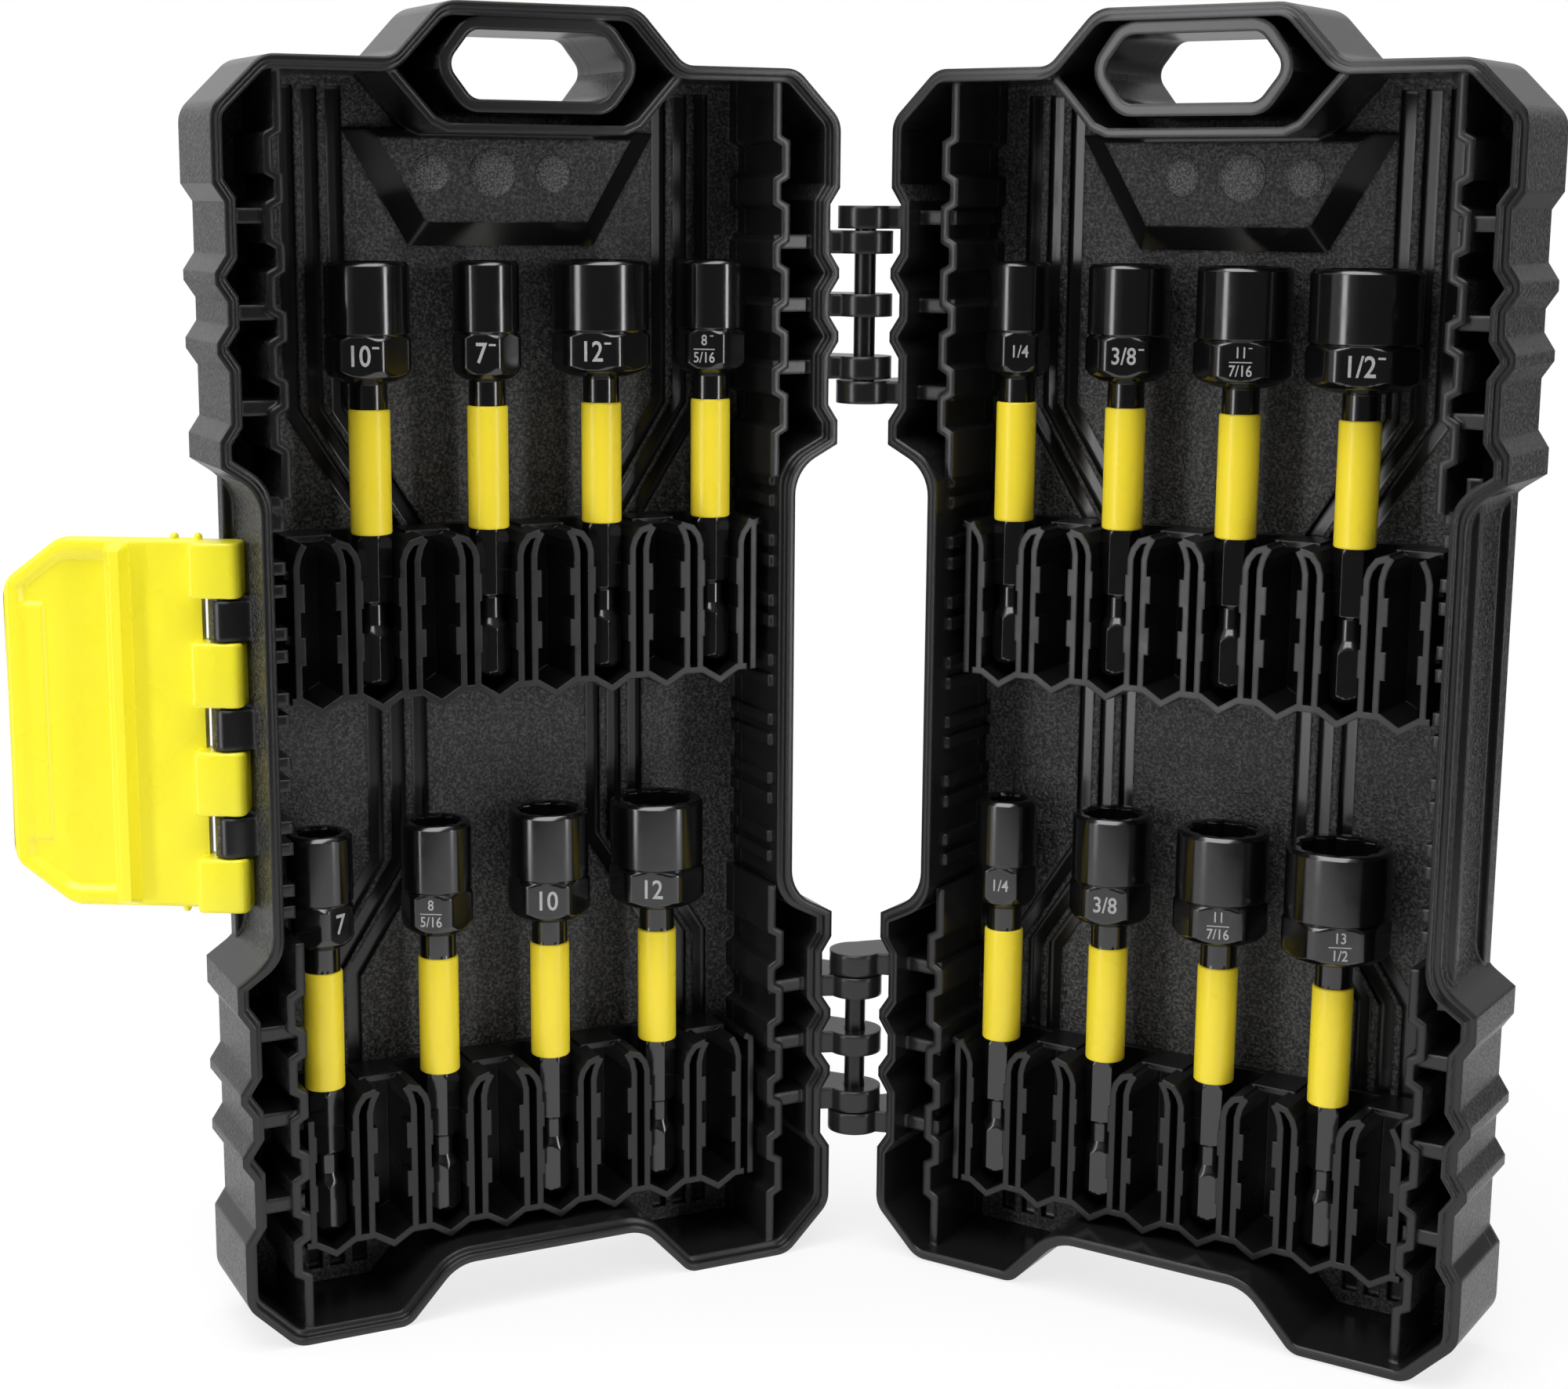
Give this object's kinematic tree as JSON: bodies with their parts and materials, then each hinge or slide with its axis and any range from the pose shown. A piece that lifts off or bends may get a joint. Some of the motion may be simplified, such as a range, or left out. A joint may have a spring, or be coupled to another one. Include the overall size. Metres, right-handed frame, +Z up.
{
  "type": "nut driver set in case",
  "caption": "Hinged plastic case standing open, with spring racks that hold hex shank nut drivers and a yellow latch.",
  "frame": {"origin": "centre of the bounding box, on the ground plane under the feet", "axes": "+Z up, +X to the right seen from the open side, +Y towards the back of the hinge"},
  "size_m": [0.2696, 0.0782, 0.24],
  "materials": {
    "case_plastic": "fine moulded grain",
    "rack_plastic": "satin",
    "latch_plastic": "gloss",
    "sleeve_plastic": "gloss",
    "tool_steel": "black oxide, polished",
    "pin_steel": "dark"
  },
  "bodies": {
    "base": {"base_shell": "case_plastic", "hinge_pin_lower": "pin_steel", "hinge_pin_upper": "pin_steel", "latch_pin": "pin_steel", "base_rack_upper": "rack_plastic", "base_rack_lower": "rack_plastic"},
    "lid": {"lid_shell": "case_plastic", "lid_rack_upper": "rack_plastic", "lid_rack_lower": "rack_plastic"},
    "latch": {"latch": "latch_plastic"},
    "base_upper_8_or_5_16": {"base_upper_driver_8_or_5_16": "tool_steel", "base_upper_sleeve_8_or_5_16": "sleeve_plastic"},
    "base_upper_12": {"base_upper_driver_12": "tool_steel", "base_upper_sleeve_12": "sleeve_plastic"},
    "base_upper_7": {"base_upper_driver_7": "tool_steel", "base_upper_sleeve_7": "sleeve_plastic"},
    "base_upper_10": {"base_upper_driver_10": "tool_steel", "base_upper_sleeve_10": "sleeve_plastic"},
    "base_lower_12": {"base_lower_driver_12": "tool_steel", "base_lower_sleeve_12": "sleeve_plastic"},
    "base_lower_10": {"base_lower_driver_10": "tool_steel", "base_lower_sleeve_10": "sleeve_plastic"},
    "base_lower_8_or_5_16": {"base_lower_driver_8_or_5_16": "tool_steel", "base_lower_sleeve_8_or_5_16": "sleeve_plastic"},
    "base_lower_7": {"base_lower_driver_7": "tool_steel", "base_lower_sleeve_7": "sleeve_plastic"},
    "lid_upper_1_4": {"lid_upper_driver_1_4": "tool_steel", "lid_upper_sleeve_1_4": "sleeve_plastic"},
    "lid_upper_3_8": {"lid_upper_driver_3_8": "tool_steel", "lid_upper_sleeve_3_8": "sleeve_plastic"},
    "lid_upper_11_or_7_16": {"lid_upper_driver_11_or_7_16": "tool_steel", "lid_upper_sleeve_11_or_7_16": "sleeve_plastic"},
    "lid_upper_1_2": {"lid_upper_driver_1_2": "tool_steel", "lid_upper_sleeve_1_2": "sleeve_plastic"},
    "lid_lower_1_4": {"lid_lower_driver_1_4": "tool_steel", "lid_lower_sleeve_1_4": "sleeve_plastic"},
    "lid_lower_3_8": {"lid_lower_driver_3_8": "tool_steel", "lid_lower_sleeve_3_8": "sleeve_plastic"},
    "lid_lower_11_or_7_16": {"lid_lower_driver_11_or_7_16": "tool_steel", "lid_lower_sleeve_11_or_7_16": "sleeve_plastic"},
    "lid_lower_13_or_1_2": {"lid_lower_driver_13_or_1_2": "tool_steel", "lid_lower_sleeve_13_or_1_2": "sleeve_plastic"}
  },
  "joints": [
    {"name": "lid_hinge", "type": "hinge", "parent": "base", "child": "lid", "pos_m": [0.0164, 0.0215, 0.115], "axis": [0, 0, 1], "range_deg": [-121.3, 58.7]},
    {"name": "latch_hinge", "type": "hinge", "parent": "base", "child": "latch", "pos_m": [-0.09434, -0.02701, 0.1138], "axis": [0, 0, -1], "range_deg": [-119.3, 32]},
    {"name": "base_upper_8_or_5_16_slide", "type": "slide", "parent": "base", "child": "base_upper_8_or_5_16", "axis": [0.4901, -0.8716, 0], "range_m": [0, 0.035]},
    {"name": "base_upper_12_slide", "type": "slide", "parent": "base", "child": "base_upper_12", "axis": [0.4901, -0.8716, 0], "range_m": [0, 0.035]},
    {"name": "base_upper_7_slide", "type": "slide", "parent": "base", "child": "base_upper_7", "axis": [0.4901, -0.8716, 0], "range_m": [0, 0.035]},
    {"name": "base_upper_10_slide", "type": "slide", "parent": "base", "child": "base_upper_10", "axis": [0.4901, -0.8716, 0], "range_m": [0, 0.035]},
    {"name": "base_lower_12_slide", "type": "slide", "parent": "base", "child": "base_lower_12", "axis": [0.4901, -0.8716, 0], "range_m": [0, 0.035]},
    {"name": "base_lower_10_slide", "type": "slide", "parent": "base", "child": "base_lower_10", "axis": [0.4901, -0.8716, 0], "range_m": [0, 0.035]},
    {"name": "base_lower_8_or_5_16_slide", "type": "slide", "parent": "base", "child": "base_lower_8_or_5_16", "axis": [0.4901, -0.8716, 0], "range_m": [0, 0.035]},
    {"name": "base_lower_7_slide", "type": "slide", "parent": "base", "child": "base_lower_7", "axis": [0.4901, -0.8716, 0], "range_m": [0, 0.035]},
    {"name": "lid_upper_1_4_slide", "type": "slide", "parent": "lid", "child": "lid_upper_1_4", "axis": [-0.4901, -0.8716, 0], "range_m": [0, 0.035]},
    {"name": "lid_upper_3_8_slide", "type": "slide", "parent": "lid", "child": "lid_upper_3_8", "axis": [-0.4901, -0.8716, 0], "range_m": [0, 0.035]},
    {"name": "lid_upper_11_or_7_16_slide", "type": "slide", "parent": "lid", "child": "lid_upper_11_or_7_16", "axis": [-0.4901, -0.8716, 0], "range_m": [0, 0.035]},
    {"name": "lid_upper_1_2_slide", "type": "slide", "parent": "lid", "child": "lid_upper_1_2", "axis": [-0.4901, -0.8716, 0], "range_m": [0, 0.035]},
    {"name": "lid_lower_1_4_slide", "type": "slide", "parent": "lid", "child": "lid_lower_1_4", "axis": [-0.4901, -0.8716, 0], "range_m": [0, 0.035]},
    {"name": "lid_lower_3_8_slide", "type": "slide", "parent": "lid", "child": "lid_lower_3_8", "axis": [-0.4901, -0.8716, 0], "range_m": [0, 0.035]},
    {"name": "lid_lower_11_or_7_16_slide", "type": "slide", "parent": "lid", "child": "lid_lower_11_or_7_16", "axis": [-0.4901, -0.8716, 0], "range_m": [0, 0.035]},
    {"name": "lid_lower_13_or_1_2_slide", "type": "slide", "parent": "lid", "child": "lid_lower_13_or_1_2", "axis": [-0.4901, -0.8716, 0], "range_m": [0, 0.035]}
  ]
}
